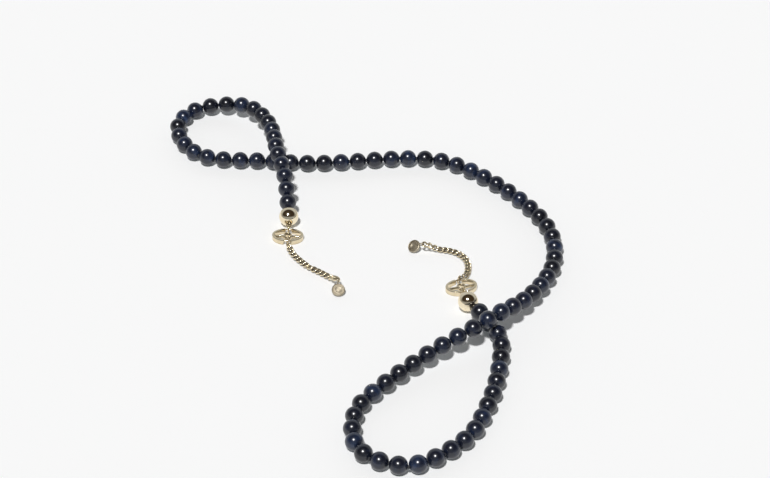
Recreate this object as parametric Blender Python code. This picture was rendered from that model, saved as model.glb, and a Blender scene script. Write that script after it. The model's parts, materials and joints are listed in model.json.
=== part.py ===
"""Beaded eyewear retainer chain, laid out on a flat surface.

Eighty-five round 8.2 mm beads run on one stringing cord.  At each end the cord
passes through a hollow metal ball and is crimped into an eye inside it; from
the eye follow a jump ring, an open oval charm, a second jump ring, a curb
chain in two runs and a small round medallion whose snap post plugs into the
tip of an eyeglass temple.

Metres, +Z up, the strand lies on z = 0, the origin is under the middle of its
bounding box.  Beads are made two to a solid, joined by the collar of cord
whipping between them, and turn about the straight bore that they share.
"""

import math

import bmesh
import bpy
import numpy as np
from mathutils import Matrix, Vector

MM = 0.001

# ------------------------------------------------------------ driving dimensions
BEAD_COUNT = 85
BEAD_R = 4.1 * MM  # bead outer radius
BEAD_PITCH = 8.55 * MM  # centre to centre along the cord
BORE_R = 0.95 * MM  # drilled hole through a bead
COLLAR_R = 1.2 * MM  # whipping between the two beads of a pair
CORD_R = 0.4 * MM

BALL_R = 4.75 * MM  # hollow end ball
BALL_WALL = 0.5 * MM
BALL_ENTRY_R = 1.1 * MM  # cord side
BALL_EXIT_R = 2.0 * MM  # eye side
BALL_TO_BEAD = 9.15 * MM  # ball centre to first bead centre

CRIMP_R = 1.25 * MM
CRIMP_BORE_R = 0.75 * MM
NECK_R = 0.35 * MM
EYE_AT = 6.2 * MM  # ball centre to the middle of the crimp's eye

EYE_R = 1.1 * MM  # small eyes: ring of round wire, mean radius
RING_R = 1.75 * MM  # jump rings, mean radius
WIRE_R = 0.3 * MM
RING_TO_BAIL = 0.55 * MM  # jump ring centre to the charm's bail

CHARM_A = 7.0 * MM  # half width of the oval's middle line
CHARM_B = 4.6 * MM  # half length of it
BAND_W = 1.3 * MM
BAND_H = 2.5 * MM
BAIL = 0.8 * MM  # square bar that each jump ring passes round
BAIL_HALF = 1.3 * MM
BAIL_Z = 2.1 * MM
BOSS_OUT_R = 2.2 * MM
BOSS_IN_R = 1.25 * MM

CHAIN_W = 3.4 * MM
CHAIN_H = 2.6 * MM
LINK_PITCH = 2.3 * MM
CHAIN_Z = 1.45 * MM

DISC_R = 3.2 * MM
DISC_T = 1.3 * MM
DISC_TILT = math.radians(30.0)
POST_R = 1.3 * MM
POST_L = (DISC_R - POST_R) * math.tan(DISC_TILT)  # so post and rim touch the surface together
LOOP_AT = 4.1 * MM  # disc centre to the middle of its loop

# Middle line of the strand from the left end ball to the right one, in mm:
# x, y and the height above the level at which a bead lies on the surface.  It
# rises over itself in one long hump at the left and in another at the right.
STRAND_ROUTE = [
    (-34.7, 41.6, 0.8),
    (-35.5, 51.9, 3.2),
    (-38.0, 69.9, 8.0),
    (-40.9, 81.5, 9.0),
    (-43.9, 100.0, 7.7),
    (-47.5, 116.4, 5.8),
    (-57.2, 133.2, 4.0),
    (-68.6, 139.2, 2.1),
    (-84.0, 138.1, 0.3),
    (-93.9, 126.0, 0.0),
    (-92.5, 110.4, 0.0),
    (-79.5, 94.5, 0.0),
    (-51.5, 90.7, 0.0),
    (-26.8, 88.5, 0.0),
    (2.6, 90.8, 0.0),
    (37.9, 91.4, 0.0),
    (60.0, 78.1, 0.0),
    (78.5, 57.8, 0.0),
    (92.5, 31.2, 0.0),
    (93.5, 8.2, 0.0),
    (89.0, -7.7, 1.2),
    (78.1, -27.8, 4.2),
    (68.7, -39.1, 6.9),
    (62.8, -45.1, 8.2),
    (53.9, -52.0, 7.0),
    (39.0, -61.6, 4.3),
    (24.9, -72.7, 2.1),
    (4.1, -94.1, 0.2),
    (-1.3, -107.3, 0.0),
    (1.2, -127.3, 0.0),
    (16.3, -137.2, 0.0),
    (29.3, -135.8, 0.0),
    (48.9, -119.2, 0.0),
    (55.9, -104.5, 0.0),
    (62.0, -84.2, 0.0),
    (65.5, -52.3, 0.0),
    (63.0, -45.8, 0.0),
    (54.4, -29.6, 0.6),
    (48.9, -23.0, 0.8),
]

# Per end, angles in degrees and lengths in mm: how far the ball's axis and the
# crimp are turned in plan from the strand's last run; how far the crimp is slid
# out of the ball; height of its eye; headings from +X of the first jump ring and
# the charm; then the chain's route on the surface after the charm, as steps from
# where its first eye lies; then the medallion's heading and
# how far it is rolled over to one side.
END_LAY = {
    "left": {
        "ball_turn": 0.0,
        "crimp_turn": -2.0,
        "crimp_out": -0.8,
        "eye_height": 3.5,
        "ring_heading": -94.0,
        "charm_heading": -93.0,
        "chain_steps": [(3.0, -7.7), (6.8, -13.2), (10.6, -17.4), (15.1, -20.9), (19.5, -24.5), (22.6, -27.8), (24.6, -31.8)],
        "disc_heading": -84.0,
        "disc_roll": 0.0,
    },
    "right": {
        "ball_turn": -9.0,
        "crimp_turn": -25.0,
        "crimp_out": 2.9,
        "eye_height": 3.3,
        "ring_heading": 92.0,
        "charm_heading": 105.0,
        "chain_steps": [(2.8, 3.0), (4.0, 9.5), (3.4, 14.3), (0.4, 19.0), (-3.9, 21.8), (-11.4, 23.4), (-17.0, 23.3)],
        "disc_heading": 182.0,
        "disc_roll": -28.0,
    },
}

UP = Vector((0, 0, 1))


# ------------------------------------------------------------ scene and materials
for old in list(bpy.data.objects):
    bpy.data.objects.remove(old, do_unlink=True)


def material(name, colour, roughness, metallic=0.0, coat=0.0):
    m = bpy.data.materials.new(name)
    m.use_nodes = True
    b = m.node_tree.nodes["Principled BSDF"]
    b.inputs["Base Color"].default_value = (*colour, 1.0)
    b.inputs["Roughness"].default_value = roughness
    b.inputs["Metallic"].default_value = metallic
    b.inputs["Coat Weight"].default_value = coat
    return m


NAVY = material("navy_glass_bead", (0.010, 0.013, 0.036), 0.12, 0.0, 0.6)
CORD = material("waxed_cord", (0.012, 0.013, 0.020), 0.75)
GOLD = material("pale_gold_plate", (0.80, 0.66, 0.40), 0.18, 1.0)
GOLD_RING = material("gold_wire", (0.72, 0.57, 0.33), 0.22, 1.0)
GOLD_CHAIN = material("gold_curb_chain", (0.70, 0.56, 0.34), 0.26, 1.0)
GOLD_DISC = material("antique_gold_disc", (0.58, 0.48, 0.32), 0.34, 1.0)


def frame_of(x_axis, near_z, at):
    """A frame at a point with its x along x_axis and its z as near near_z as it can be."""
    x = Vector(x_axis).normalized()
    z = Vector(near_z) - x * x.dot(Vector(near_z))
    z.normalize()
    y = z.cross(x)
    return Matrix(((x.x, y.x, z.x, at[0]), (x.y, y.y, z.y, at[1]), (x.z, y.z, z.z, at[2]), (0, 0, 0, 1)))


LAY = bpy.data.objects.new("strand_lay", None)
bpy.context.scene.collection.objects.link(LAY)


def place(mesh, name, frame, mat, smooth=40.0):
    """An object whose mesh is given in its own frame, hung from the lay's empty."""
    ob = bpy.data.objects.new(name, mesh)
    bpy.context.scene.collection.objects.link(ob)
    ob.parent = LAY
    ob.location = frame.to_translation()
    ob.rotation_mode = "QUATERNION"
    ob.rotation_quaternion = frame.to_quaternion()
    if mat.name not in [m.name for m in mesh.materials]:
        mesh.materials.append(mat)
    mesh.shade_smooth()
    mesh.set_sharp_from_angle(angle=math.radians(smooth))
    return ob


def mesh_from(bm, name):
    bmesh.ops.recalc_face_normals(bm, faces=bm.faces)
    mesh = bpy.data.meshes.new(name)
    bm.to_mesh(mesh)
    bm.free()
    return mesh


# ------------------------------------------------------------ mesh makers
def turned(profile, segments, closed, name, phase=0.0):
    """A solid turned about local x.  profile lists (x, radius); a radius of 0 is a pole.
    closed joins its last ring to its first, for a piece with a hole right through."""
    bm = bmesh.new()
    rings = []
    for x, r in profile:
        if r <= 0:
            rings.append([bm.verts.new((x, 0, 0))])
            continue
        ring = []
        for k in range(segments):
            a = 2 * math.pi * k / segments + phase
            ring.append(bm.verts.new((x, r * math.sin(a), -r * math.cos(a))))
        rings.append(ring)
    pairs = list(zip(rings, rings[1:]))
    if closed:
        pairs.append((rings[-1], rings[0]))
    for a, b in pairs:
        for k in range(segments):
            n = (k + 1) % segments
            corners = [a[k % len(a)], a[n % len(a)], b[n % len(b)], b[k % len(b)]]
            face = []
            for c in corners:
                if c not in face:
                    face.append(c)
            bm.faces.new(face)
    return mesh_from(bm, name)


def wire_ring(mean_r, wire_r, turn_segments, wire_segments, frame, name):
    """A closed ring of round wire about the frame's z."""
    bm = bmesh.new()
    rings = []
    for i in range(turn_segments):
        a = 2 * math.pi * (i + 0.5) / turn_segments
        ring = []
        for j in range(wire_segments):
            b = 2 * math.pi * j / wire_segments
            r = mean_r + wire_r * math.cos(b)
            ring.append(bm.verts.new(frame @ Vector((r * math.cos(a), r * math.sin(a), wire_r * math.sin(b)))))
        rings.append(ring)
    for i in range(turn_segments):
        a, b = rings[i], rings[(i + 1) % turn_segments]
        for j in range(wire_segments):
            n = (j + 1) % wire_segments
            bm.faces.new((a[j], b[j], b[n], a[n]))
    return mesh_from(bm, name)


def united(meshes, name):
    """Boolean union of meshes that share one frame."""
    first = bpy.data.objects.new(name + "_base", meshes[0])
    bpy.context.scene.collection.objects.link(first)
    tools = []
    for n, other in enumerate(meshes[1:]):
        tool = bpy.data.objects.new(f"{name}_tool_{n}", other)
        bpy.context.scene.collection.objects.link(tool)
        mod = first.modifiers.new(f"join_{n}", "BOOLEAN")
        mod.operation = "UNION"
        mod.solver = "EXACT"
        mod.object = tool
        tools.append(tool)
    bpy.context.view_layer.update()
    deps = bpy.context.evaluated_depsgraph_get()
    whole = bpy.data.meshes.new_from_object(first.evaluated_get(deps))
    whole.name = name
    for ob in [first, *tools]:
        bpy.data.objects.remove(ob, do_unlink=True)
    bm = bmesh.new()
    bm.from_mesh(whole)
    bmesh.ops.remove_doubles(bm, verts=bm.verts, dist=0.00002)
    bmesh.ops.dissolve_degenerate(bm, edges=bm.edges, dist=0.00001)
    bm.to_mesh(whole)
    bm.free()
    return whole


# ------------------------------------------------------------ the route
def natural_cubic(t, y, u):
    """Natural cubic spline through (t, y), read at u."""
    n = len(t)
    h = np.diff(t)
    a = np.zeros((n, n))
    b = np.zeros(n)
    a[0, 0] = a[-1, -1] = 1.0
    for i in range(1, n - 1):
        a[i, i - 1], a[i, i], a[i, i + 1] = h[i - 1], 2 * (h[i - 1] + h[i]), h[i]
        b[i] = 6 * ((y[i + 1] - y[i]) / h[i] - (y[i] - y[i - 1]) / h[i - 1])
    m = np.linalg.solve(a, b)
    k = np.clip(np.searchsorted(t, u) - 1, 0, n - 2)
    d0, d1 = u - t[k], t[k + 1] - u
    return (
        (m[k] * d1**3 + m[k + 1] * d0**3) / (6 * h[k])
        + (y[k] / h[k] - m[k] * h[k] / 6) * d1
        + (y[k + 1] / h[k] - m[k + 1] * h[k] / 6) * d0
    )


def no_overshoot(t, y, u):
    """Cubic through (t, y) that never leaves the range of two neighbouring points."""
    h, s = np.diff(t), np.diff(y) / np.diff(t)
    d = np.zeros(len(t))
    for i in range(1, len(t) - 1):
        if s[i - 1] * s[i] > 0:
            w0, w1 = 2 * h[i] + h[i - 1], h[i] + 2 * h[i - 1]
            d[i] = (w0 + w1) / (w0 / s[i - 1] + w1 / s[i])
    d[0], d[-1] = s[0], s[-1]
    k = np.clip(np.searchsorted(t, u) - 1, 0, len(t) - 2)
    x = (u - t[k]) / h[k]
    return (
        (1 + 2 * x) * (1 - x) ** 2 * y[k]
        + x * (1 - x) ** 2 * h[k] * d[k]
        + x**2 * (3 - 2 * x) * y[k + 1]
        + x**2 * (x - 1) * h[k] * d[k + 1]
    )


def dense(points, count):
    """A smooth line through route points: cubic in plan, free of overshoot in height."""
    p = np.array(points, float)
    t = np.concatenate([[0.0], np.cumsum(np.sqrt(np.linalg.norm(np.diff(p, axis=0), axis=1)))])
    u = np.linspace(t[0], t[-1], count)
    return np.column_stack([natural_cubic(t, p[:, 0], u), natural_cubic(t, p[:, 1], u), no_overshoot(t, p[:, 2], u)])


def step_along(line, start, chords):
    """Points on a line, each one chord further on than the one before."""
    found, cur, j = [], np.array(start), 0
    for chord in chords:
        while j < len(line) - 1 and np.linalg.norm(line[j] - cur) < chord:
            j += 1
        a, b = line[j - 1], line[j]
        da, db = np.linalg.norm(a - cur), np.linalg.norm(b - cur)
        f = (chord - da) / (db - da) if db > da else 1.0
        cur = a + (b - a) * f
        found.append(cur)
    return np.array(found)


line = dense(STRAND_ROUTE, 12000) * MM
chords = [BALL_TO_BEAD] + [BEAD_PITCH] * (BEAD_COUNT - 1) + [BALL_TO_BEAD]
centres = np.vstack([line[0], step_along(line, line[0], chords)])
middle = (centres[1:-1].min(0) + centres[1:-1].max(0)) / 2
centres[:, 0] -= middle[0]
centres[:, 1] -= middle[1]
centres[:, 2] += BEAD_R
ball_left, ball_right = Vector(centres[0]), Vector(centres[-1])
beads = [Vector(c) for c in centres[1:-1]]


# ------------------------------------------------------------ beads
def sphere_rings(centre_x, radius, first_deg, last_deg, count):
    """Rings of a ball from one opening to the other, as (x, radius) along its axis."""
    out = []
    for i in range(count):
        a = math.radians(first_deg + (last_deg - first_deg) * i / (count - 1))
        out.append((centre_x - radius * math.cos(a), radius * math.sin(a)))
    return out


mouth_deg = math.degrees(math.asin(BORE_R / BEAD_R))
collar_deg = math.degrees(math.asin(COLLAR_R / BEAD_R))
half = BEAD_PITCH / 2
pair_profile = (
    sphere_rings(-half, BEAD_R, mouth_deg, 90, 3)
    + sphere_rings(-half, BEAD_R, 90, 180 - collar_deg, 3)[1:]
    + sphere_rings(half, BEAD_R, collar_deg, 90, 3)
    + sphere_rings(half, BEAD_R, 90, 180 - mouth_deg, 3)[1:]
)
pair_mesh = turned(pair_profile, 10, True, "bead_pair")
single_profile = sphere_rings(0, BEAD_R, mouth_deg, 90, 3) + sphere_rings(0, BEAD_R, 90, 180 - mouth_deg, 3)[1:]
single_mesh = turned(single_profile, 10, True, "single_bead")


def turned_in_plan(way, degrees):
    """A direction turned about +Z."""
    return (Matrix.Rotation(math.radians(degrees), 3, "Z") @ way).normalized()


ball_axis = {
    "left": turned_in_plan(ball_left - beads[0], END_LAY["left"]["ball_turn"]),
    "right": turned_in_plan(ball_right - beads[-1], END_LAY["right"]["ball_turn"]),
}
units = [("ball", ball_left, -ball_axis["left"], BALL_R, BALL_R)]
pair_count = BEAD_COUNT // 2
for k in range(pair_count):
    a, b = beads[2 * k], beads[2 * k + 1]
    axis = (b - a).normalized()
    place(pair_mesh.copy(), f"bead_pair_{k + 1:02d}", frame_of(axis, UP, (a + b) / 2), NAVY)
    units.append(("pair", (a + b) / 2, axis, half + BEAD_R, half + BEAD_R))
last = beads[-1]
last_axis = ((last - beads[-2]).normalized() + (ball_right - last).normalized()).normalized()
place(single_mesh, "last_bead", frame_of(last_axis, UP, last), NAVY)
units.append(("bead", last, last_axis, BEAD_R, BEAD_R))
units.append(("ball", ball_right, ball_axis["right"], BALL_R, BALL_R))


# ------------------------------------------------------------ stringing cord
def crimp_way(ball_at, bead_at, lay):
    """Direction of a crimp inside its ball: out along the strand, sagging to its eye's height."""
    level = turned_in_plan(Vector((ball_at.x - bead_at.x, ball_at.y - bead_at.y, 0)), lay["crimp_turn"])
    fall = (ball_at.z - lay["eye_height"] * MM) / (EYE_AT + lay["crimp_out"] * MM)
    return level * math.sqrt(1 - fall**2) - UP * fall


crimp_left = crimp_way(ball_left, beads[0], END_LAY["left"])
crimp_right = crimp_way(ball_right, beads[-1], END_LAY["right"])
seat_left = ball_left + crimp_left * END_LAY["left"]["crimp_out"] * MM
seat_right = ball_right + crimp_right * END_LAY["right"]["crimp_out"] * MM
cord_points = [seat_left - crimp_left * 0.1 * MM, seat_left - crimp_left * 3.0 * MM]
for (_, c0, d0, _, reach0), (_, c1, d1, reach1, _) in zip(units, units[1:]):
    cord_points.append(((c0 + d0 * reach0) + (c1 - d1 * reach1)) / 2)
cord_points += [seat_right - crimp_right * 3.0 * MM, seat_right - crimp_right * 0.1 * MM]
curve = bpy.data.curves.new("stringing_cord", "CURVE")
curve.dimensions = "3D"
curve.bevel_depth = CORD_R
curve.bevel_resolution = 2
curve.use_fill_caps = True
spline = curve.splines.new("POLY")
spline.points.add(len(cord_points) - 1)
for point, at in zip(spline.points, cord_points):
    point.co = (*at, 1.0)
curve.materials.append(CORD)
cord = bpy.data.objects.new("stringing_cord", curve)
bpy.context.scene.collection.objects.link(cord)
cord.parent = LAY


# ------------------------------------------------------------ end hardware
def hollow_ball():
    entry = math.degrees(math.asin(BALL_ENTRY_R / BALL_R))
    leave = math.degrees(math.asin(BALL_EXIT_R / BALL_R))
    inner = BALL_R - BALL_WALL
    entry_in = math.degrees(math.asin(BALL_ENTRY_R / inner))
    leave_in = math.degrees(math.asin(BALL_EXIT_R / inner))
    outside = sphere_rings(0, BALL_R, entry, 90, 4) + sphere_rings(0, BALL_R, 90, 180 - leave, 3)[1:]
    inside = sphere_rings(0, inner, entry_in, 90, 3) + sphere_rings(0, inner, 90, 180 - leave_in, 3)[1:]
    return turned(outside + inside[::-1], 12, True, "end_ball")


def crimp_with_eye():
    """Along local x from where the crimp sits: a bored crimp for the cord, a neck and an eye."""
    body = turned(
        [
            (0.2 * MM, 0),
            (0.2 * MM, CRIMP_BORE_R),
            (-2.5 * MM, CRIMP_BORE_R),
            (-2.5 * MM, CRIMP_R),
            (0.8 * MM, CRIMP_R),
            (1.4 * MM, NECK_R),
            (EYE_AT - EYE_R, NECK_R),
            (EYE_AT - EYE_R, 0),
        ],
        10,
        False,
        "crimp",
    )
    eye = wire_ring(EYE_R, WIRE_R, 12, 6, Matrix.Translation((EYE_AT, 0, 0)), "eye")
    return united([body, eye], "crimp_eye")


def charm_mesh():
    """Oval charm lying flat, long way across.  Origin in its first bail, +x towards its middle,
    so the oval's middle is at x = CHARM_B.  Heights are measured from the bail's centre."""
    bm = bmesh.new()
    low, high = -BAIL_Z, BAND_H - BAIL_Z
    marks = []
    for side in (0, 1):
        base = math.pi * side
        for y in (BAIL_HALF + 0.4 * MM, BAIL_HALF, -BAIL_HALF, -BAIL_HALF - 0.4 * MM):
            marks.append((base + math.asin(-y / CHARM_A), abs(y) <= BAIL_HALF + 1e-9))
        first, last_mark = base + math.asin((BAIL_HALF + 0.4 * MM) / CHARM_A), base + math.pi - math.asin(
            (BAIL_HALF + 0.4 * MM) / CHARM_A
        )
        for i in range(1, 9):
            marks.append((first + (last_mark - first) * i / 9, False))
    marks.sort(key=lambda m: m[0])
    rings = []
    for a, bail in marks:
        # angle 0 is the near bail; the oval's middle is CHARM_B further along x
        mid = Vector((CHARM_B - CHARM_B * math.cos(a), CHARM_A * math.sin(a), 0))
        out = Vector((-math.cos(a) / CHARM_B, math.sin(a) / CHARM_A, 0)).normalized()
        w = BAIL / 2 if bail else BAND_W / 2
        z0, z1 = (-BAIL / 2, BAIL / 2) if bail else (low, high)
        rings.append(
            [bm.verts.new(mid + out * s + UP * z) for s, z in ((-w, z0), (w, z0), (w, z1), (-w, z1))]
        )
    for i in range(len(rings)):
        a, b = rings[i], rings[(i + 1) % len(rings)]
        for j in range(4):
            n = (j + 1) % 4
            bm.faces.new((a[j], b[j], b[n], a[n]))
    band = mesh_from(bm, "band")
    z0, z1 = low + 0.4 * MM, high - 0.3 * MM
    boss = turned(
        [(z0, BOSS_IN_R), (z0, BOSS_OUT_R), (z1, BOSS_OUT_R), (z1, BOSS_IN_R)], 16, True, "boss"
    )
    boss.transform(Matrix.Translation((CHARM_B, 0, 0)) @ Matrix.Rotation(math.radians(-90), 4, "Y"))
    parts = [band, boss]
    for s in (-1, 1):
        bm = bmesh.new()
        bmesh.ops.create_cube(bm, size=1.0)
        reach = CHARM_A - BOSS_OUT_R + 0.4 * MM
        bmesh.ops.scale(bm, vec=(1.0 * MM, reach, z1 - z0 - 0.6 * MM), verts=bm.verts)
        bmesh.ops.translate(bm, vec=(CHARM_B, s * (BOSS_OUT_R - 0.3 * MM + reach / 2), (z0 + z1) / 2), verts=bm.verts)
        parts.append(mesh_from(bm, "strut"))
    return united(parts, "charm")


def chain_run(path, start, end, first_eye, last_eye, name):
    """One run of curb chain: a scalloped bar from one eye to the next along a path.
    path(s) gives (point, direction) at a distance s; the eyes lie at start and end."""
    s0, s1 = start + EYE_R, end - EYE_R
    links = max(2, round((s1 - s0) / LINK_PITCH))
    bm = bmesh.new()
    rings = []
    for i in range(2 * links + 1):
        f = i / (2 * links)
        at, ahead = path(s0 + (s1 - s0) * f)
        side = UP.cross(ahead).normalized()
        up = ahead.cross(side)
        if i in (0, 2 * links):
            w, h = 0.55 * MM, 0.25 * MM
        elif i % 2:
            w, h = CHAIN_W / 2, CHAIN_H / 2
        else:
            w, h = 0.76 * CHAIN_W / 2, 0.8 * CHAIN_H / 2
        rings.append(
            [
                bm.verts.new(at + side * w * math.cos(a) + up * h * math.sin(a))
                for a in (2 * math.pi * (k + 0.5) / 8 for k in range(8))
            ]
        )
    for a, b in zip(rings, rings[1:]):
        for k in range(8):
            n = (k + 1) % 8
            bm.faces.new((a[k], a[n], b[n], b[k]))
    bm.faces.new(rings[0][::-1])
    bm.faces.new(rings[-1])
    parts = [mesh_from(bm, "bar")]
    for s, upright in ((start, first_eye), (end, last_eye)):
        at, ahead = path(s)
        level = frame_of(ahead, UP, at)
        if upright:
            level = level @ Matrix.Rotation(math.radians(90), 4, "X")
        parts.append(wire_ring(EYE_R, WIRE_R, 12, 6, level, "eye"))
    return united(parts, name)


def medallion_mesh():
    """Round medallion.  Origin in the middle of its loop, +x level and away from the chain;
    the disc hangs from the loop, tipped down by DISC_TILT, with its snap post underneath."""
    q = Vector((math.cos(DISC_TILT), 0, -math.sin(DISC_TILT)))
    n = Vector((math.sin(DISC_TILT), 0, math.cos(DISC_TILT)))
    middle = q * LOOP_AT
    rim = 0.25 * MM
    t = DISC_T / 2
    disc = turned(
        [
            (-t - POST_L, 0),
            (-t - POST_L, POST_R),
            (-t, POST_R),
            (-t, DISC_R),
            (t - 0.2 * MM, DISC_R),
            (t, DISC_R - 0.2 * MM),
            (t, DISC_R - 0.8 * MM),
            (t - rim, DISC_R - 0.9 * MM),
            (t - rim, 0),
        ],
        20,
        False,
        "disc",
    )
    across = UP.cross(q).normalized()
    disc.transform(Matrix(((n.x, across.x, q.x, middle.x), (n.y, across.y, q.y, middle.y), (n.z, across.z, q.z, middle.z), (0, 0, 0, 1))))
    loop = wire_ring(EYE_R, WIRE_R, 12, 6, Matrix.Rotation(math.radians(90), 4, "X"), "loop")
    return united([disc, loop], "medallion")


def heading(deg):
    return Vector((math.cos(math.radians(deg)), math.sin(math.radians(deg)), 0))


ball_mesh = hollow_ball()
crimp_mesh = crimp_with_eye()
ring_mesh = wire_ring(RING_R, WIRE_R, 16, 6, Matrix.Identity(4), "jump_ring")
charm = charm_mesh()
medallion = medallion_mesh()

for side, ball_at, crimp, seat in (
    ("left", ball_left, crimp_left, seat_left),
    ("right", ball_right, crimp_right, seat_right),
):
    lay = END_LAY[side]
    place(ball_mesh.copy(), f"end_ball_{side}", frame_of(ball_axis[side], UP, ball_at), GOLD)
    place(crimp_mesh.copy(), f"crimp_eye_{side}", frame_of(crimp, UP, seat), GOLD_RING)
    eye = seat + crimp * EYE_AT

    # first jump ring: through the crimp's eye and round the charm's near bail
    way = heading(lay["charm_heading"])
    span = RING_R + RING_TO_BAIL
    fall = eye.z - BAIL_Z
    along = heading(lay["ring_heading"]) * math.sqrt(span**2 - fall**2) - UP * fall
    upright = Matrix.Rotation(math.radians(90), 4, "X")
    ring_frame = frame_of(along, UP, eye) @ upright
    shifted = ring_mesh.copy()
    shifted.transform(Matrix.Translation((RING_R, 0, 0)))
    place(shifted, f"ball_ring_{side}", ring_frame, GOLD_RING)
    bail = eye + along
    bail.z = BAIL_Z
    place(charm.copy(), f"charm_{side}", frame_of(way, UP, bail), GOLD)

    # second jump ring: round the far bail and through the chain's first eye
    far = bail + way * 2 * CHARM_B
    steps = [Vector((x * MM, y * MM, 0)) for x, y in lay["chain_steps"]]
    ring_way = (steps[0].normalized() + way * 0.6).normalized()
    shifted = ring_mesh.copy()
    shifted.transform(Matrix.Translation((RING_TO_BAIL, 0, 0)))
    place(shifted, f"chain_ring_{side}", frame_of(ring_way, UP, far) @ upright, GOLD_RING)
    first_eye = far + ring_way * span

    # the medallion's lie, and the height of its loop when it rests on the surface
    disc_way = heading(lay["disc_heading"])
    rolled = Matrix.Rotation(math.radians(lay["disc_roll"]), 3, disc_way) @ UP
    lie = frame_of(disc_way, rolled, (0, 0, 0))
    loop_height = -min((lie @ v.co).z for v in medallion.vertices)

    # the chain's route, from its first eye to its last
    plan = [first_eye] + [first_eye + s for s in steps]
    flat = dense([(p.x / MM, p.y / MM, 0.0) for p in plan], 2000) * MM
    run = np.concatenate([[0.0], np.cumsum(np.linalg.norm(np.diff(flat, axis=0), axis=1))])
    total = run[-1]
    heights_at = np.array([0.0, 6 * MM, total - 8 * MM, total])
    heights = np.array([BAIL_Z, CHAIN_Z, CHAIN_Z, loop_height])
    flat[:, 2] = no_overshoot(heights_at, heights, run)

    def path(s):
        i = int(np.clip(np.searchsorted(run, s), 1, len(run) - 1))
        f = (s - run[i - 1]) / (run[i] - run[i - 1])
        at = flat[i - 1] + (flat[i] - flat[i - 1]) * f
        lo, hi = max(i - 12, 0), min(i + 12, len(run) - 1)
        return Vector(at), Vector(flat[hi] - flat[lo]).normalized()

    join = total / 2
    upper = chain_run(path, 0.0, join, False, False, f"chain_upper_{side}")
    frame = frame_of(ring_way, UP, first_eye)
    upper.transform(frame.inverted())
    place(upper, f"chain_upper_{side}", frame, GOLD_CHAIN)
    pivot, ahead = path(join)
    lower = chain_run(path, join + EYE_R, total, True, False, f"chain_lower_{side}")
    frame = frame_of((ahead.x, ahead.y, 0), UP, pivot)
    lower.transform(frame.inverted())
    place(lower, f"chain_lower_{side}", frame, GOLD_CHAIN)

    # medallion: its upright loop hangs in the chain's last eye
    last_eye, _ = path(total)
    place(medallion.copy(), f"medallion_{side}", frame_of(disc_way, rolled, last_eye + disc_way * EYE_R), GOLD_DISC)

# ------------------------------------------------------------ origin
bpy.context.view_layer.update()
deps = bpy.context.evaluated_depsgraph_get()
corners = [
    ob.matrix_world @ v.co
    for ob in bpy.data.objects
    if ob.type in {"MESH", "CURVE"}
    for v in ob.evaluated_get(deps).to_mesh().vertices
]
low = Vector([min(c[i] for c in corners) for i in range(3)])
high = Vector([max(c[i] for c in corners) for i in range(3)])
LAY.location = (-(low.x + high.x) / 2, -(low.y + high.y) / 2, -low.z)
bpy.context.view_layer.update()
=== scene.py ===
"""Looks for the beaded eyewear retainer chain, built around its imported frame.

Every place comes from the frame's joints: bead pairs, end balls, rings, charms,
chain runs and medallions are remade in full detail where the frame has them.
"""

import json
import math

import bmesh
import bpy
import numpy as np
from mathutils import Matrix, Vector, noise


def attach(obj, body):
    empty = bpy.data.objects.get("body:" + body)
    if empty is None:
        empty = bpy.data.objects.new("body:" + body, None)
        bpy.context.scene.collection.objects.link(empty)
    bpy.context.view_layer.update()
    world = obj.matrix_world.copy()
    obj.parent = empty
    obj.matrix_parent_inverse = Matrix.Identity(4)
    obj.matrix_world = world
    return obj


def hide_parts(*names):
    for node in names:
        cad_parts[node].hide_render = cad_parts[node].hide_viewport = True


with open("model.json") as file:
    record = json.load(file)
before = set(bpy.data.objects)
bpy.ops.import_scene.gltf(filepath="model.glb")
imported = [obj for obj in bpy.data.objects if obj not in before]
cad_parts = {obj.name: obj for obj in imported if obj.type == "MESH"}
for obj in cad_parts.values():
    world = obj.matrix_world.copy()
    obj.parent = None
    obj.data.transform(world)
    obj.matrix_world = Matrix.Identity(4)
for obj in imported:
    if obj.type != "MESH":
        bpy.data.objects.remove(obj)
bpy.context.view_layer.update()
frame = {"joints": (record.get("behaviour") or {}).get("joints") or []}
MM = 0.001
UP = Vector((0, 0, 1))

JOINT = {j["name"]: j for j in frame["joints"]}


def joint_at(name):
    return Vector(JOINT[name]["pos_m"])


def joint_axis(name):
    return Vector(JOINT[name]["axis"]).normalized()


# ------------------------------------------------------------ sizes shared with the frame
BEAD_R = 4.1 * MM
ROUND_R = 4.17 * MM  # a bead's polished outside, a hair over the frame's faceted one
BEAD_PITCH = 8.55 * MM
CORD_R = 0.4 * MM
BALL_R = 4.75 * MM
EYE_AT = 6.2 * MM
EYE_R = 1.1 * MM
RING_R = 1.75 * MM
WIRE_R = 0.3 * MM
RING_TO_BAIL = 0.55 * MM
CHARM_A = 7.0 * MM
CHARM_B = 4.6 * MM
BAND_W = 1.3 * MM
BAND_H = 2.5 * MM
BAIL_HALF = 1.3 * MM
BAIL_Z = 2.1 * MM
DISC_R = 3.2 * MM
DISC_T = 1.3 * MM
DISC_TILT = math.radians(30.0)
POST_R = 1.3 * MM
POST_L = (DISC_R - POST_R) * math.tan(DISC_TILT)
LOOP_AT = 4.1 * MM
CHAIN_STEPS = {
    "left": [(3.0, -7.7), (6.8, -13.2), (10.6, -17.4), (15.1, -20.9), (19.5, -24.5), (22.6, -27.8), (24.6, -31.8)],
    "right": [(2.8, 3.0), (4.0, 9.5), (3.4, 14.3), (0.4, 19.0), (-3.9, 21.8), (-11.4, 23.4), (-17.0, 23.3)],
}
PAIRS = 42


def frame_of(x_axis, near_z, at):
    x = Vector(x_axis).normalized()
    z = Vector(near_z) - x * x.dot(Vector(near_z))
    z.normalize()
    y = z.cross(x)
    return Matrix(((x.x, y.x, z.x, at[0]), (x.y, y.y, z.y, at[1]), (x.z, y.z, z.z, at[2]), (0, 0, 0, 1)))


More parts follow.
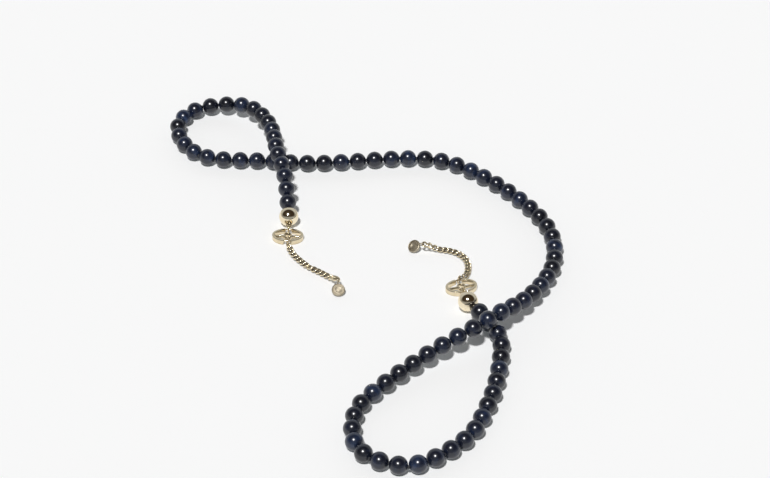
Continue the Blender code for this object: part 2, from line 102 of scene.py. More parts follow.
# ------------------------------------------------------------ camera
AIM = Vector((12.67, 23.13, 4.1)) * MM
ELEVATION = math.radians(36.79)
camera = bpy.data.objects.new("camera", bpy.data.cameras.new("camera"))
bpy.context.scene.collection.objects.link(camera)
camera.data.sensor_width = 36.0
camera.data.lens = 2325.0 / 770.0 * 36.0
camera.data.clip_start = 0.05
camera.data.clip_end = 60.0
camera.location = AIM + Vector((0, -math.cos(ELEVATION), math.sin(ELEVATION))) * 1.126
camera.rotation_euler = (math.radians(90) - ELEVATION, 0, 0)
bpy.context.scene.camera = camera


# ------------------------------------------------------------ materials
class Nodes:
    """A material's node tree, built a line at a time."""

    def __init__(self, name):
        self.material = bpy.data.materials.new(name)
        self.material.use_nodes = True
        self.tree = self.material.node_tree
        self.shader = self.tree.nodes["Principled BSDF"]

    def add(self, kind, inputs=(), **settings):
        node = self.tree.nodes.new(kind)
        for key, value in settings.items():
            setattr(node, key, value)
        for key, value in dict(inputs).items():
            if isinstance(value, bpy.types.NodeSocket):
                self.tree.links.new(value, node.inputs[key])
            else:
                node.inputs[key].default_value = value
        return node

    def set(self, **inputs):
        for key, value in inputs.items():
            socket = self.shader.inputs[key.replace("_", " ")]
            if isinstance(value, bpy.types.NodeSocket):
                self.tree.links.new(value, socket)
            else:
                socket.default_value = value

    def ramp(self, factor, stops, interpolation="LINEAR"):
        node = self.add("ShaderNodeValToRGB", {0: factor})
        node.color_ramp.interpolation = interpolation
        ramp = node.color_ramp.elements
        while len(ramp) < len(stops):
            ramp.new(0.5)
        for element, (at, colour) in zip(ramp, stops):
            element.position = at
            element.color = (*colour, 1.0) if len(colour) == 3 else colour
        return node.outputs[0]

    def mix(self, factor, a, b, blend="MIX"):
        node = self.add("ShaderNodeMix", data_type="RGBA", blend_type=blend)
        for index, value in ((0, factor), (6, a), (7, b)):
            if isinstance(value, bpy.types.NodeSocket):
                self.tree.links.new(value, node.inputs[index])
            else:
                node.inputs[index].default_value = value if index == 0 else (*value, 1.0)
        return node.outputs[2]

    def maths(self, operation, a, b=0.0, c=0.0):
        node = self.add("ShaderNodeMath", operation=operation)
        for index, value in enumerate((a, b, c)):
            if isinstance(value, bpy.types.NodeSocket):
                self.tree.links.new(value, node.inputs[index])
            else:
                node.inputs[index].default_value = value
        return node.outputs[0]


def bead_material(name, deep, blue, share):
    """Dark navy glass under a pearly lacquer: soft bands round the bore, a cloudy depth, faint haze."""
    n = Nodes(name)
    where = n.add("ShaderNodeTexCoord").outputs["Object"]
    seed = n.add("ShaderNodeObjectInfo").outputs["Random"]
    moved = n.add("ShaderNodeCombineXYZ", {0: n.maths("MULTIPLY", seed, 0.7), 1: n.maths("MULTIPLY", seed, 1.3), 2: seed})
    place = n.add("ShaderNodeVectorMath", {0: where, 1: moved.outputs[0]}, operation="ADD").outputs[0]
    stretched = n.add("ShaderNodeMapping", {"Vector": place, "Scale": (260.0, 90.0, 90.0)}).outputs[0]
    clouds = n.add("ShaderNodeTexNoise", {"Vector": stretched, "Scale": 1.0, "Detail": 4.0, "Roughness": 0.55, "Distortion": 0.8})
    fine = n.add("ShaderNodeTexNoise", {"Vector": place, "Scale": 900.0, "Detail": 3.0, "Roughness": 0.6})
    swirl = n.ramp(clouds.outputs["Fac"], [(0.42, (0, 0, 0)), (0.60, (0.35, 0.35, 0.35)), (0.72, (1, 1, 1))], "EASE")
    amount = n.maths("MULTIPLY", swirl, share)
    colour = n.mix(amount, deep, blue)
    n.set(
        Base_Color=colour,
        Roughness=n.maths("MULTIPLY_ADD", fine.outputs["Fac"], 0.04, 0.24),
        IOR=1.56,
        Coat_Weight=0.18,
        Coat_Roughness=0.20,
        Coat_IOR=1.6,
    )
    ripple = n.add("ShaderNodeTexNoise", {"Vector": place, "Scale": 260.0, "Detail": 2.0})
    bump = n.add("ShaderNodeBump", {"Height": ripple.outputs["Fac"], "Strength": 0.04, "Distance": 0.0002})
    n.set(Normal=bump.outputs[0])
    return n.material


def gold_material(name, light, dark, roughness, grain, tarnish_and_painted_shade=0.0, dent=0.05):
    """Pale gold plate: cloudy tone, fine polishing marks in the roughness, a little tarnish and painted shade in the
    hollows.
    """
    n = Nodes(name)
    where = n.add("ShaderNodeTexCoord").outputs["Object"]
    cloud = n.add("ShaderNodeTexNoise", {"Vector": where, "Scale": 420.0, "Detail": 4.0, "Roughness": 0.6})
    colour = n.mix(n.ramp(cloud.outputs["Fac"], [(0.35, (0, 0, 0)), (0.70, (1, 1, 1))]), light, dark)
    if tarnish_and_painted_shade:
        # ambient occlusion darkens the hollows toward brown: a little tarnish, and painted shade between links and in
        # recesses
        hollow = n.add("ShaderNodeAmbientOcclusion", {"Distance": 0.0011}, samples=8)
        shade = n.maths("MULTIPLY", n.maths("SUBTRACT", 1.0, hollow.outputs["AO"]), tarnish_and_painted_shade)
        colour = n.mix(shade, colour, (0.12, 0.074, 0.028))
    marks = n.add("ShaderNodeMapping", {"Vector": where, "Scale": (2600.0, 900.0, 2600.0)}).outputs[0]
    scratch = n.add("ShaderNodeTexNoise", {"Vector": marks, "Scale": 1.0, "Detail": 3.0, "Roughness": 0.65})
    wear = n.add("ShaderNodeTexNoise", {"Vector": where, "Scale": 700.0, "Detail": 2.0})
    bump = n.add("ShaderNodeBump", {"Height": wear.outputs["Fac"], "Strength": dent, "Distance": 0.0002})
    n.set(
        Base_Color=colour,
        Metallic=1.0,
        Roughness=n.maths("MULTIPLY_ADD", scratch.outputs["Fac"], grain, roughness),
        Normal=bump.outputs[0],
    )
    return n.material


def cord_material(name, tone, pitch):
    """Twisted, waxed thread."""
    n = Nodes(name)
    where = n.add("ShaderNodeTexCoord").outputs["Object"]
    wave = n.add(
        "ShaderNodeTexWave",
        {"Vector": where, "Scale": pitch, "Distortion": 1.2, "Detail": 2.0},
        wave_type="BANDS",
        bands_direction="DIAGONAL",
    )
    fibre = n.add("ShaderNodeTexNoise", {"Vector": where, "Scale": 4000.0, "Detail": 3.0})
    colour = n.mix(wave.outputs["Fac"], tuple(c * 0.5 for c in tone), tone)
    height = n.maths("ADD", wave.outputs["Fac"], n.maths("MULTIPLY", fibre.outputs["Fac"], 0.5))
    bump = n.add("ShaderNodeBump", {"Height": height, "Strength": 0.5, "Distance": 0.00015})
    n.set(Base_Color=colour, Roughness=0.62, Normal=bump.outputs[0], Sheen_Weight=0.15)
    return n.material


NAVY = [
    bead_material("bead_near_black", (0.0050, 0.0062, 0.0118), (0.013, 0.021, 0.050), 0.55),
    bead_material("bead_navy", (0.0066, 0.0088, 0.0190), (0.015, 0.028, 0.072), 0.80),
    bead_material("bead_blue", (0.0080, 0.0118, 0.0270), (0.019, 0.042, 0.108), 1.00),
]
THREAD = cord_material("waxed_thread", (0.030, 0.032, 0.042), 900.0)
GOLD = gold_material("pale_gold_plate", (0.93, 0.83, 0.63), (0.87, 0.74, 0.51), 0.07, 0.10)
# the fifth number sets how much painted shade and tarnish darken each metal's hollows
GOLD_WIRE = gold_material("gold_wire", (0.86, 0.72, 0.46), (0.76, 0.61, 0.37), 0.12, 0.12, 0.4)
GOLD_CHAIN = gold_material("gold_curb_chain", (0.90, 0.79, 0.57), (0.80, 0.68, 0.45), 0.12, 0.12, 1.5)
GOLD_DISC = gold_material("antique_gold_disc", (0.50, 0.445, 0.345), (0.41, 0.36, 0.265), 0.40, 0.16, 1.0, 0.2)
GOLD_CHARM = gold_material("pale_gold_charm", (0.81, 0.71, 0.53), (0.74, 0.63, 0.42), 0.08, 0.12, 0.6)


# ------------------------------------------------------------ mesh makers
def finish_mesh(bm, name, weld=0.0):
    if weld:
        bmesh.ops.remove_doubles(bm, verts=bm.verts, dist=weld)
    bmesh.ops.recalc_face_normals(bm, faces=bm.faces)
    mesh = bpy.data.meshes.new(name)
    bm.to_mesh(mesh)
    bm.free()
    return mesh


def lathe(bm, profile, segments, closed, transform):
    """Turns (x, radius) about x into bm. A radius of 0 is a pole."""
    rings = []
    for x, r in profile:
        if r <= 0:
            rings.append([bm.verts.new(transform @ Vector((x, 0, 0)))])
            continue
        rings.append(
            [
                bm.verts.new(transform @ Vector((x, r * math.sin(a), -r * math.cos(a))))
                for a in (2 * math.pi * k / segments for k in range(segments))
            ]
        )
    pairs = list(zip(rings, rings[1:]))
    if closed:
        pairs.append((rings[-1], rings[0]))
    for a, b in pairs:
        for k in range(segments):
            n = (k + 1) % segments
            face = []
            for c in (a[k % len(a)], a[n % len(a)], b[n % len(b)], b[k % len(b)]):
                if c not in face:
                    face.append(c)
            bm.faces.new(face)


def sweep(bm, points, section, closed, ups=None, caps=True, transform=Matrix.Identity(4)):
    """A tube through points. section(i) lists (side, up) offsets; every ring has as many."""
    count = len(points)
    rings = []
    up = None
    for i in range(count):
        before = points[(i - 1) % count] if closed or i else points[0]
        after = points[(i + 1) % count] if closed or i < count - 1 else points[-1]
        ahead = (after - before).normalized()
        if ups is not None:
            up = ups[i] - ahead * ahead.dot(ups[i])
        elif up is None:
            guess = UP if abs(ahead.z) < 0.9 else Vector((1, 0, 0))
            up = guess - ahead * ahead.dot(guess)
        else:
            up = up - ahead * ahead.dot(up)
        up.normalize()
        side = ahead.cross(up)
        rings.append([bm.verts.new(transform @ (points[i] + side * s + up * u)) for s, u in section(i)])
    sides = len(rings[0])
    for i in range(count if closed else count - 1):
        a, b = rings[i], rings[(i + 1) % count]
        for k in range(sides):
            n = (k + 1) % sides
            bm.faces.new((a[k], a[n], b[n], b[k]))
    if not closed and caps:
        bm.faces.new(rings[0][::-1])
        bm.faces.new(rings[-1])


def round_section(radius, sides=14):
    ring = [
        (radius * math.cos(2 * math.pi * k / sides), radius * math.sin(2 * math.pi * k / sides))
        for k in range(sides)
    ]
    return lambda i: ring


def boxed_section(half_w, low, high, corner, per_corner=4):
    """A rectangle with rounded corners, as (side, up)."""
    corner = min(corner, half_w * 0.98, (high - low) / 2 * 0.98)
    out = []
    for cx, cy, start in (
        (half_w - corner, high - corner, 0.0),
        (-half_w + corner, high - corner, 0.5 * math.pi),
        (-half_w + corner, low + corner, math.pi),
        (half_w - corner, low + corner, 1.5 * math.pi),
    ):
        for k in range(per_corner):
            a = start + 0.5 * math.pi * k / (per_corner - 1)
            out.append((cx + corner * math.cos(a), cy + corner * math.sin(a)))
    return out


def torus(bm, mean_r, wire_r, transform, turns=48, sides=14, cut=0.0):
    """A wire ring about z. cut leaves it open by that angle, with rounded ends."""
    if not cut:
        points = [
            Vector((mean_r * math.cos(a), mean_r * math.sin(a), 0))
            for a in (2 * math.pi * i / turns for i in range(turns))
        ]
        sweep(bm, points, round_section(wire_r, sides), True, [UP] * turns, transform=transform)
        return
    angles = [cut / 2 + (2 * math.pi - cut) * i / (turns - 1) for i in range(turns)]
    points = [Vector((mean_r * math.cos(a), mean_r * math.sin(a), 0)) for a in angles]
    full = [
        (wire_r * math.cos(2 * math.pi * k / sides), wire_r * math.sin(2 * math.pi * k / sides))
        for k in range(sides)
    ]
    small = [(s * 0.82, u * 0.82) for s, u in full]
    sweep(
        bm,
        points,
        lambda i: small if i in (0, turns - 1) else full,
        False,
        [UP] * turns,
        transform=transform,
    )


def piece(mesh, name, material, body, nodes, at=None, smooth=35.0, more=()):
    mesh.materials.clear()
    for m in (material, *more):
        mesh.materials.append(m)
    mesh.shade_smooth()
    if smooth:
        mesh.set_sharp_from_angle(angle=math.radians(smooth))
    ob = bpy.data.objects.new(name, mesh)
    bpy.context.scene.collection.objects.link(ob)
    if at is not None:
        ob.matrix_world = at
    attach(ob, body)
    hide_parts(*nodes)
    return ob


# ------------------------------------------------------------ bead places
pair_frames = []
for k in range(PAIRS):
    name = f"bead_pair_{k + 1:02d}_spin"
    pair_frames.append(frame_of(joint_axis(name), UP, joint_at(name)))
last_frame = frame_of(joint_axis("last_bead_spin"), UP, joint_at("last_bead_spin"))
half = BEAD_PITCH / 2

# ------------------------------------------------------------ stringing cord
ball = {s: joint_at(f"end_ball_spin_{s}") for s in ("left", "right")}
eye = {s: joint_at(f"ball_ring_swing_{s}") for s in ("left", "right")}
crimp = {s: (eye[s] - ball[s]).normalized() for s in ("left", "right")}
seat = {s: eye[s] - crimp[s] * EYE_AT for s in ("left", "right")}
stations = [(ball["left"], -joint_axis("end_ball_spin_left"), BALL_R, BALL_R)]
for f in pair_frames:
    stations.append((f.to_translation(), f.col[0].to_3d(), half + BEAD_R, half + BEAD_R))
stations.append((last_frame.to_translation(), last_frame.col[0].to_3d(), BEAD_R, BEAD_R))
stations.append((ball["right"], joint_axis("end_ball_spin_right"), BALL_R, BALL_R))
gaps = []
for (c0, d0, _, r0), (c1, d1, r1, _) in zip(stations, stations[1:]):
    a, b = c0 + d0 * r0, c1 - d1 * r1
    gaps.append(((a + b) / 2, (b - a + (d0 + d1) * MM * 0.2).normalized()))
cord_route = [seat["left"] - crimp["left"] * 0.1 * MM, seat["left"] - crimp["left"] * 3.0 * MM]
for i, (at, _) in enumerate(gaps):
    cord_route.append(at)
    if i < PAIRS:
        cord_route.append(pair_frames[i].to_translation())
cord_route += [seat["right"] - crimp["right"] * 3.0 * MM, seat["right"] - crimp["right"] * 0.1 * MM]
curve = bpy.data.curves.new("stringing_cord_line", "CURVE")
curve.dimensions = "3D"
curve.bevel_depth = CORD_R
curve.bevel_resolution = 4
curve.use_fill_caps = True
spline = curve.splines.new("POLY")
spline.points.add(len(cord_route) - 1)
for point, at in zip(spline.points, cord_route):
    point.co = (*at, 1.0)
curve.materials.append(THREAD)
cord = bpy.data.objects.new("stringing_thread", curve)
bpy.context.scene.collection.objects.link(cord)
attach(cord, "strand_cord")
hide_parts("stringing_cord")

# ------------------------------------------------------------ knots between beads
bm = bmesh.new()
knots = [(at, ahead) for at, ahead in gaps]
knots += [(f.to_translation(), f.col[0].to_3d()) for f in pair_frames]
for at, ahead in knots:
    place = frame_of(ahead, UP, at)
    for strand in (0, 1):
        points = []
        for i in range(22):
            t = i / 21.0
            a = 2 * math.pi * (1.55 * t + 0.5 * strand)
            r = 0.50 * MM + 0.10 * MM * math.sin(math.pi * t)
            points.append(
                place @ Vector(((t - 0.5) * 0.62 * MM * (1 if strand else -1), r * math.cos(a), r * math.sin(a)))
            )
        sweep(bm, points, round_section(0.27 * MM, 8), False)
piece(finish_mesh(bm, "thread_knots"), "thread_knots", THREAD, "strand_cord", [], smooth=0)


# ------------------------------------------------------------ beads
def bead_mesh():
    """Polished round bead: drilled through, with the drill's mouths eased into the sphere."""
    hole = 0.52 * MM
    mouth = math.asin((hole + 0.16 * MM) / ROUND_R)
    profile = []
    depth = math.sqrt(ROUND_R**2 - (hole + 0.16 * MM) ** 2)
    for i in range(4):
        a = 0.5 * math.pi * i / 4
        profile.append((-depth + 0.16 * MM * (1 - math.sin(a)), hole + 0.16 * MM * (1 - math.cos(a))))
    for i in range(41):
        a = mouth + (math.pi - 2 * mouth) * i / 40
        profile.append((-ROUND_R * math.cos(a), ROUND_R * math.sin(a)))
    for i in range(4):
        a = 0.5 * math.pi * (3 - i) / 4
        profile.append((depth - 0.16 * MM * (1 - math.sin(a)), hole + 0.16 * MM * (1 - math.cos(a))))
    profile += [(2.0 * MM, hole), (0.0, hole), (-2.0 * MM, hole)]
    bm = bmesh.new()
    lathe(bm, profile, 56, True, Matrix.Identity(4))
    return finish_mesh(bm, "bead")


shared = []
for m in NAVY:
    mesh = bead_mesh()
    mesh.materials.append(m)
    mesh.shade_smooth()
    shared.append(mesh)


def bead(number, place, body, node):
    """A bead, turned on the thread by an amount of its own so that its bands differ from its neighbours'."""
    turn = (number * 137.508) % 360.0
    tone = [0, 1, 0, 1, 2, 1, 0, 1, 1, 0, 2, 1, 0, 0, 1, 1, 2][(number * 7) % 17]
    ob = bpy.data.objects.new(f"bead_{number:02d}", shared[tone])
    bpy.context.scene.collection.objects.link(ob)
    ob.matrix_world = place @ Matrix.Rotation(math.radians(turn), 4, "X")
    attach(ob, body)
    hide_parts(node)
    return ob


for k, place in enumerate(pair_frames):
    node = f"bead_pair_{k + 1:02d}"
    bead(2 * k + 1, place @ Matrix.Translation((-half, 0, 0)), node, node)
    bead(2 * k + 2, place @ Matrix.Translation((half, 0, 0)), node, node)
bead(85, last_frame, "last_bead", "last_bead")


# ------------------------------------------------------------ end hardware
def ball_mesh(exit_r):
    """Hollow ball: thin shell, its two holes rolled in."""
    wall = 0.45 * MM
    inner = BALL_R - wall
    entry, leave = math.asin(0.8 * MM / BALL_R), math.asin(exit_r / BALL_R)
    profile = []
    for i in range(49):
        a = entry + (math.pi - entry - leave) * i / 48
        r = BALL_R
        profile.append((-r * math.cos(a), r * math.sin(a)))
    lip = 0.5 * wall
    for i in range(1, 6):
        a = math.pi * i / 6
        mid = BALL_R - lip
        turn = math.pi - leave
        ahead = 0.9 * lip * math.sin(a)
        r = mid + lip * math.cos(a)
        t = turn + ahead / BALL_R
        profile.append((-r * math.cos(t), r * math.sin(t)))
    for i in range(25):
        a = (math.pi - leave) - (math.pi - entry - leave) * i / 24
        profile.append((-inner * math.cos(a), inner * math.sin(a)))
    for i in range(1, 6):
        a = math.pi * i / 6
        mid = BALL_R - lip
        r = mid - lip * math.cos(a)
        t = entry - 0.9 * lip * math.sin(a) / BALL_R
        profile.append((-r * math.cos(t), r * math.sin(t)))
    bm = bmesh.new()
    lathe(bm, profile, 72, True, Matrix.Identity(4))
    return finish_mesh(bm, "end_ball")


def crimp_mesh():
    """Crimp sleeve pressed on the thread's end, its neck and its eye."""
    bm = bmesh.new()
    profile = [(0.2 * MM, 0), (0.2 * MM, 0.5 * MM), (-2.5 * MM, 0.5 * MM), (-2.55 * MM, 0.6 * MM)]
    for i in range(19):
        t = i / 18.0
        pinch = 0.16 * MM * (math.exp(-(((t - 0.3) / 0.09) ** 2)) + math.exp(-(((t - 0.68) / 0.09) ** 2)))
        profile.append((-2.55 * MM + 3.3 * MM * t, 1.2 * MM - pinch - 0.12 * MM * (abs(2 * t - 1) ** 12)))
    profile += [(1.05 * MM, 0.75 * MM), (1.4 * MM, 0.42 * MM), (1.8 * MM, 0.34 * MM)]
    profile += [(EYE_AT - EYE_R - 0.3 * MM, 0.34 * MM), (EYE_AT - EYE_R, 0.30 * MM), (EYE_AT - EYE_R, 0)]
    lathe(bm, profile, 28, False, Matrix.Identity(4))
    torus(bm, EYE_R, WIRE_R, Matrix.Translation((EYE_AT, 0, 0)))
    return finish_mesh(bm, "crimp")


def ring_mesh():
    bm = bmesh.new()
    torus(bm, RING_R, WIRE_R, Matrix.Rotation(math.radians(118), 4, "Z"), cut=math.radians(2.5))
    return finish_mesh(bm, "ring")


def charm_mesh():
    """Open oval charm, its two bails, and a rimmed ring held in the middle by two arms."""
    bm = bmesh.new()
    low, high = -BAIL_Z, BAND_H - BAIL_Z
    count = 176
    points, sections = [], []
    for i in range(count):
        a = 2 * math.pi * i / count
        mid = Vector((CHARM_B - CHARM_B * math.cos(a), CHARM_A * math.sin(a), 0))
        y = abs(mid.y)
        open_up = min(max((y - BAIL_HALF) / (0.55 * MM), 0.0), 1.0)
        open_up = open_up * open_up * (3 - 2 * open_up)
        half_w = 0.38 * MM + (BAND_W / 2 - 0.38 * MM) * open_up
        z0 = -0.38 * MM + (low + 0.38 * MM) * open_up
        z1 = 0.38 * MM + (high - 0.38 * MM) * open_up
        corner = 0.34 * MM + (0.16 * MM - 0.34 * MM) * open_up
        points.append(mid)
        sections.append(boxed_section(half_w, z0, z1, corner))
    sweep(bm, points, lambda i: sections[i], True, [UP] * count)
    base, top = low + 0.4 * MM, high - 0.3 * MM
    stand = Matrix.Translation((CHARM_B, 0, 0)) @ Matrix.Rotation(math.radians(-90), 4, "Y")
    ring = []
    for cx, cr, start in (
        (base + 0.15 * MM, 1.40 * MM, math.pi),
        (base + 0.15 * MM, 2.05 * MM, 1.5 * math.pi),
        (top - 0.15 * MM, 2.05 * MM, 0.0),
        (top - 0.15 * MM, 1.40 * MM, 0.5 * math.pi),
    ):
        for k in range(5):
            a = start + 0.5 * math.pi * k / 4
            ring.append((cx + 0.15 * MM * math.sin(a), cr + 0.15 * MM * math.cos(a)))
    lathe(bm, ring, 56, True, stand)
    rim = [
        (top + 0.16 * MM * math.sin(a), 1.72 * MM + 0.16 * MM * math.cos(a))
        for a in (2 * math.pi * k / 10 for k in range(10))
    ]
    lathe(bm, rim, 56, True, stand)
    for s in (-1, 1):
        path = [Vector((CHARM_B, s * (1.95 + 4.75 * t / 8.0) * MM, 0)) for t in range(9)]
        arm = [
            boxed_section((0.50 + 0.16 * (abs(t / 4.0 - 1) ** 2)) * MM, base + 0.3 * MM, top - 0.3 * MM, 0.2 * MM)
            for t in range(9)
        ]
        sweep(bm, path, lambda i: arm[i], False, [UP] * 9)
    return finish_mesh(bm, "charm")


def curb_link(bm, place, length, width, wire, turn_in, turn_out, near=1.0):
    """One curb link: an oval of wire twisted end against end, so that the chain lies flat."""
    count, points = 40, []
    skew = Matrix.Rotation(math.radians(8.0), 3, "Z")
    for i in range(count):
        a = 2 * math.pi * i / count
        x, y = length * math.cos(a), width * math.sin(a) * (near + (1 - near) * (0.5 + 0.5 * math.cos(a)))
        turn = turn_in + (turn_out - turn_in) * (0.5 + 0.5 * x / length)
        points.append(skew @ Vector((x, y * math.cos(turn), y * math.sin(turn))))
    sweep(bm, points, round_section(wire, 12), True, transform=place)


def medallion_mesh():
    """Round medallion: raised rim, a ring of grains, turned steps to a middle boss, loop and snap post."""
    bm = bmesh.new()
    q = Vector((math.cos(DISC_TILT), 0, -math.sin(DISC_TILT)))
    n = Vector((math.sin(DISC_TILT), 0, math.cos(DISC_TILT)))
    across = UP.cross(q).normalized()
    m = q * LOOP_AT
    place = Matrix(((n.x, across.x, q.x, m.x), (n.y, across.y, q.y, m.y), (n.z, across.z, q.z, m.z), (0, 0, 0, 1)))
    t = DISC_T / 2
    face = t - 0.28 * MM
    profile = [(-t - POST_L, 0), (-t - POST_L, POST_R - 0.12 * MM), (-t - POST_L + 0.12 * MM, POST_R)]
    profile += [(-t - 0.75 * MM, POST_R), (-t - 0.6 * MM, POST_R - 0.18 * MM), (-t - 0.35 * MM, POST_R - 0.18 * MM)]
    profile += [(-t - 0.15 * MM, POST_R + 0.05 * MM), (-t, POST_R + 0.3 * MM), (-t, DISC_R - 0.25 * MM)]
    for k in range(9):
        a = math.pi * k / 8
        profile.append((-t * math.cos(a) * 0.92, DISC_R - 0.22 * MM + 0.22 * MM * math.sin(a)))
    profile += [(t, DISC_R - 0.35 * MM), (t - 0.04 * MM, DISC_R - 0.46 * MM), (face, DISC_R - 0.55 * MM)]
    profile += [(face, 1.78 * MM), (face + 0.10 * MM, 1.70 * MM), (face + 0.12 * MM, 1.58 * MM), (face + 0.04 * MM, 1.46 * MM)]
    profile += [(face + 0.02 * MM, 1.16 * MM), (face + 0.13 * MM, 1.08 * MM), (face + 0.16 * MM, 0.96 * MM)]
    profile += [(face + 0.13 * MM, 0.84 * MM), (face + 0.04 * MM, 0.76 * MM), (face + 0.03 * MM, 0.52 * MM)]
    profile += [(face + 0.06 * MM, 0.26 * MM), (face + 0.07 * MM, 0)]
    lathe(bm, profile, 72, False, place)
    for k in range(26):
        a = 2 * math.pi * k / 26
        grain = Matrix.Translation((face, 2.22 * MM * math.sin(a), -2.22 * MM * math.cos(a)))
        dome = [(0.17 * MM * math.sin(0.5 * math.pi * j / 4), 0.2 * MM * math.cos(0.5 * math.pi * j / 4)) for j in range(4)]
        lathe(bm, [(-0.05 * MM, 0.2 * MM)] + dome + [(0.17 * MM, 0)], 10, False, place @ grain)
    torus(bm, EYE_R, WIRE_R, Matrix.Rotation(math.radians(90), 4, "X"))
    return finish_mesh(bm, "medallion")


# ------------------------------------------------------------ chain route
def natural_cubic(t, y, u):
    n = len(t)
    h = np.diff(t)
    a = np.zeros((n, n))
    b = np.zeros(n)
    a[0, 0] = a[-1, -1] = 1.0
    for i in range(1, n - 1):
        a[i, i - 1], a[i, i], a[i, i + 1] = h[i - 1], 2 * (h[i - 1] + h[i]), h[i]
        b[i] = 6 * ((y[i + 1] - y[i]) / h[i] - (y[i] - y[i - 1]) / h[i - 1])
    m = np.linalg.solve(a, b)
    k = np.clip(np.searchsorted(t, u) - 1, 0, n - 2)
    d0, d1 = u - t[k], t[k + 1] - u
    return (
        (m[k] * d1**3 + m[k + 1] * d0**3) / (6 * h[k])
        + (y[k] / h[k] - m[k] * h[k] / 6) * d1
        + (y[k + 1] / h[k] - m[k + 1] * h[k] / 6) * d0
    )


def chain_path(points, heights):
    """A line through plan points, with heights given as (distance from an end, height)."""
    p = np.array([tuple(v)[:2] for v in points], float)
    t = np.concatenate([[0.0], np.cumsum(np.sqrt(np.linalg.norm(np.diff(p, axis=0), axis=1) / MM))])
    u = np.linspace(t[0], t[-1], 2000)
    line = np.column_stack([natural_cubic(t, p[:, 0], u), natural_cubic(t, p[:, 1], u), np.zeros(len(u))])
    run = np.concatenate([[0.0], np.cumsum(np.linalg.norm(np.diff(line, axis=0), axis=1))])
    total = run[-1]
    hx = np.array([d if d >= 0 else total + d for d, _ in heights])
    hy = np.array([h for _, h in heights])
    hx[-1] = total
    k = np.clip(np.searchsorted(hx, run) - 1, 0, len(hx) - 2)
    x = np.clip((run - hx[k]) / (hx[k + 1] - hx[k]), 0, 1)
    line[:, 2] = hy[k] + (hy[k + 1] - hy[k]) * x * x * (3 - 2 * x)

    def at(s):
        i = int(np.clip(np.searchsorted(run, s), 1, len(run) - 1))
        f = (s - run[i - 1]) / (run[i] - run[i - 1])
        lo, hi = max(i - 12, 0), min(i + 12, len(run) - 1)
        return Vector(line[i - 1] + (line[i] - line[i - 1]) * f), Vector(line[hi] - line[lo]).normalized()

    return at, total


TWIST = math.radians(-60)
for side in ("left", "right"):
    out = joint_axis(f"end_ball_spin_{side}")
    piece(ball_mesh({"left": 1.45 * MM, "right": 1.75 * MM}[side]), f"gold_ball_{side}", GOLD, f"end_ball_{side}", [f"end_ball_{side}"], frame_of(out, UP, ball[side]))
    piece(
        crimp_mesh(), f"crimp_and_eye_{side}", GOLD_WIRE, "strand_cord", [f"crimp_eye_{side}"],
        frame_of(crimp[side], UP, seat[side]),
    )

    bail = joint_at(f"charm_tilt_{side}")
    far = joint_at(f"chain_ring_tilt_{side}")
    way = (far - bail).normalized()
    along = (bail - eye[side]).normalized()
    upright = Matrix.Rotation(math.radians(90), 4, "X")
    piece(
        ring_mesh(), f"jump_ring_ball_{side}", GOLD_WIRE, f"ball_ring_{side}", [f"ball_ring_{side}"],
        frame_of(along, UP, eye[side] + along * RING_R) @ upright,
    )
    piece(charm_mesh(), f"oval_charm_{side}", GOLD_CHARM, f"charm_{side}", [f"charm_{side}"], frame_of(way, UP, bail))

    first_eye = joint_at(f"chain_swing_{side}")
    ring_way = (first_eye - far).normalized()
    piece(
        ring_mesh(), f"jump_ring_chain_{side}", GOLD_WIRE, f"chain_ring_{side}", [f"chain_ring_{side}"],
        frame_of(ring_way, UP, far + ring_way * RING_TO_BAIL) @ upright,
    )

    pivot = joint_at(f"medallion_tilt_{side}")
    plan = [first_eye] + [first_eye + Vector((x * MM, y * MM, 0)) for x, y in CHAIN_STEPS[side]]
    at, total = chain_path(plan, [(0.0, 1.9 * MM), (5 * MM, 1.35 * MM), (-8.5 * MM, 1.35 * MM), (-0.001 * MM, pivot.z)])
    join = total / 2
    link_l, link_w, wire = 1.84 * MM, 1.27 * MM, 0.46 * MM
    reach = link_l - wire
    for part, start, end in (("upper", 0.0, join), ("lower", join, total)):
        s0 = start + (link_l - wire - WIRE_R if part == "upper" else reach)
        s1 = end - (reach if part == "upper" else link_l - wire - WIRE_R)
        count = 1 + round((s1 - s0) / (2.6 * MM))
        bm = bmesh.new()
        for k in range(count):
            here, ahead = at(s0 + (s1 - s0) * k / (count - 1))
            first, last = part == "upper" and k == 0, part == "upper" and k == count - 1
            hinge = part == "lower" and k == 0
            turn_in, turn_out = -TWIST * (0.37 if hinge else 1.0), TWIST * (1.13 if last else 1.0)
            if first:  # a slimmer link next to the charm, with room to swing
                curb_link(bm, frame_of(ahead, UP, here), link_l, 1.02 * MM, 0.36 * MM, turn_in, turn_out, 0.50)
            else:
                curb_link(bm, frame_of(ahead, UP, here), link_l, link_w, wire, turn_in, turn_out)
        piece(
            finish_mesh(bm, f"chain_{part}"), f"curb_chain_{part}_{side}", GOLD_CHAIN, f"chain_{part}_{side}",
            [f"chain_{part}_{side}"], smooth=0,
        )

    across = -joint_axis(f"medallion_tilt_{side}")
    disc_way = across.cross(UP).normalized()
    piece(medallion_mesh(), f"snap_medallion_{side}", GOLD_DISC, f"medallion_{side}", [f"medallion_{side}"], frame_of(disc_way, disc_way.cross(across), pivot))


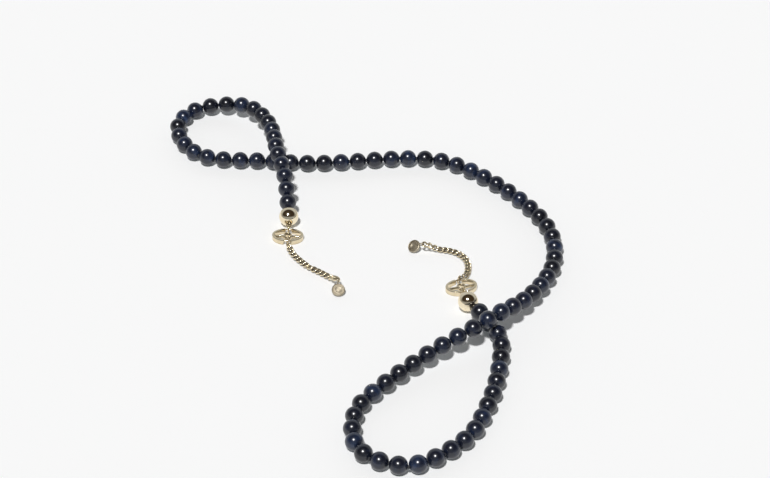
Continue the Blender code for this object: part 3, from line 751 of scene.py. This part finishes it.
# ------------------------------------------------------------ floor, world, lights
bm = bmesh.new()
bmesh.ops.create_grid(bm, x_segments=8, y_segments=8, size=3.0)
floor_mesh = finish_mesh(bm, "floor")
paper = Nodes("studio_paper")
tooth = paper.add(
    "ShaderNodeTexNoise", {"Vector": paper.add("ShaderNodeTexCoord").outputs["Object"], "Scale": 900.0, "Detail": 3.0}
)
paper.set(
    Base_Color=(0.90, 0.90, 0.90, 1.0),
    Roughness=paper.maths("MULTIPLY_ADD", tooth.outputs["Fac"], 0.1, 0.85),
    Specular_IOR_Level=0.0,
    # the floor glows faintly with a cool tint: painted fill light that lifts its shadows and cools their colour
    Emission_Color=(0.90, 1.0, 1.03, 1.0),
    Emission_Strength=0.062,
)
floor_mesh.materials.append(paper.material)
floor = bpy.data.objects.new("floor", floor_mesh)
bpy.context.scene.collection.objects.link(floor)
floor.location = (0, 0, -0.00002)

world = bpy.data.worlds.new("studio")
bpy.context.scene.world = world
world.use_nodes = True
tree = world.node_tree


def world_maths(operation, *values):
    node = tree.nodes.new("ShaderNodeMath")
    node.operation = operation
    for socket, value in zip(node.inputs, values):
        if isinstance(value, bpy.types.NodeSocket):
            tree.links.new(value, socket)
        else:
            socket.default_value = value
    return node.outputs[0]


def world_range(value, interpolation, from_min, from_max, to_min, to_max):
    node = tree.nodes.new("ShaderNodeMapRange")
    node.interpolation_type = interpolation
    tree.links.new(value, node.inputs[0])
    for index, limit in enumerate((from_min, from_max, to_min, to_max), 1):
        node.inputs[index].default_value = limit
    return node.outputs[0]


# a dark room overhead, longer from side to side than from front to back, with
# light coming in under it, most of all from the back
direction = tree.nodes.new("ShaderNodeTexCoord").outputs["Generated"]
split = tree.nodes.new("ShaderNodeSeparateXYZ")
tree.links.new(direction, split.inputs[0])
LEAN = math.radians(10.0)


def along_axis(y_share, z_share):
    return world_maths("ADD", world_maths("MULTIPLY", split.outputs["Y"], y_share), world_maths("MULTIPLY", split.outputs["Z"], z_share))


depth = along_axis(math.cos(LEAN), math.sin(LEAN))
aloft = along_axis(-math.sin(LEAN), math.cos(LEAN))
spread = world_maths(
    "ADD",
    world_maths("POWER", world_maths("ABSOLUTE", world_maths("DIVIDE", split.outputs["X"], 0.97)), 2.0),
    world_maths("POWER", world_maths("ABSOLUTE", world_maths("DIVIDE", depth, 0.755)), 2.0),
)
below = world_maths("MULTIPLY", world_maths("MAXIMUM", world_maths("MULTIPLY", aloft, -1.0), 0.0), 10.0)
outside = world_range(world_maths("ADD", spread, below), "SMOOTHERSTEP", 0.82, 1.18, 0.0, 1.0)
glow = world_range(split.outputs["Y"], "LINEAR", -1.0, 1.0, 0.36, 0.72)
blend = tree.nodes.new("ShaderNodeMix")
blend.data_type = "RGBA"
tree.links.new(outside, blend.inputs[0])
blend.inputs[6].default_value = (0.050, 0.036, 0.024, 1.0)
tint = tree.nodes.new("ShaderNodeCombineXYZ")
for index, share in enumerate((0.97, 1.0, 1.035)):
    tree.links.new(world_maths("MULTIPLY", glow, share), tint.inputs[index])
tree.links.new(tint.outputs[0], blend.inputs[7])
tree.links.new(blend.outputs[2], tree.nodes["Background"].inputs["Color"])
tree.nodes["Background"].inputs["Strength"].default_value = 0.86

sun = bpy.data.objects.new("key_light", bpy.data.lights.new("key_light", "SUN"))
bpy.context.scene.collection.objects.link(sun)
sun.data.energy = 2.85
sun.data.angle = math.radians(6.0)
sun.data.color = (1.0, 1.0, 1.0)
toward = Vector((-0.14, -0.42, 0.89))
sun.rotation_euler = toward.to_track_quat("Z", "Y").to_euler()

bpy.context.scene.view_settings.view_transform = "Standard"
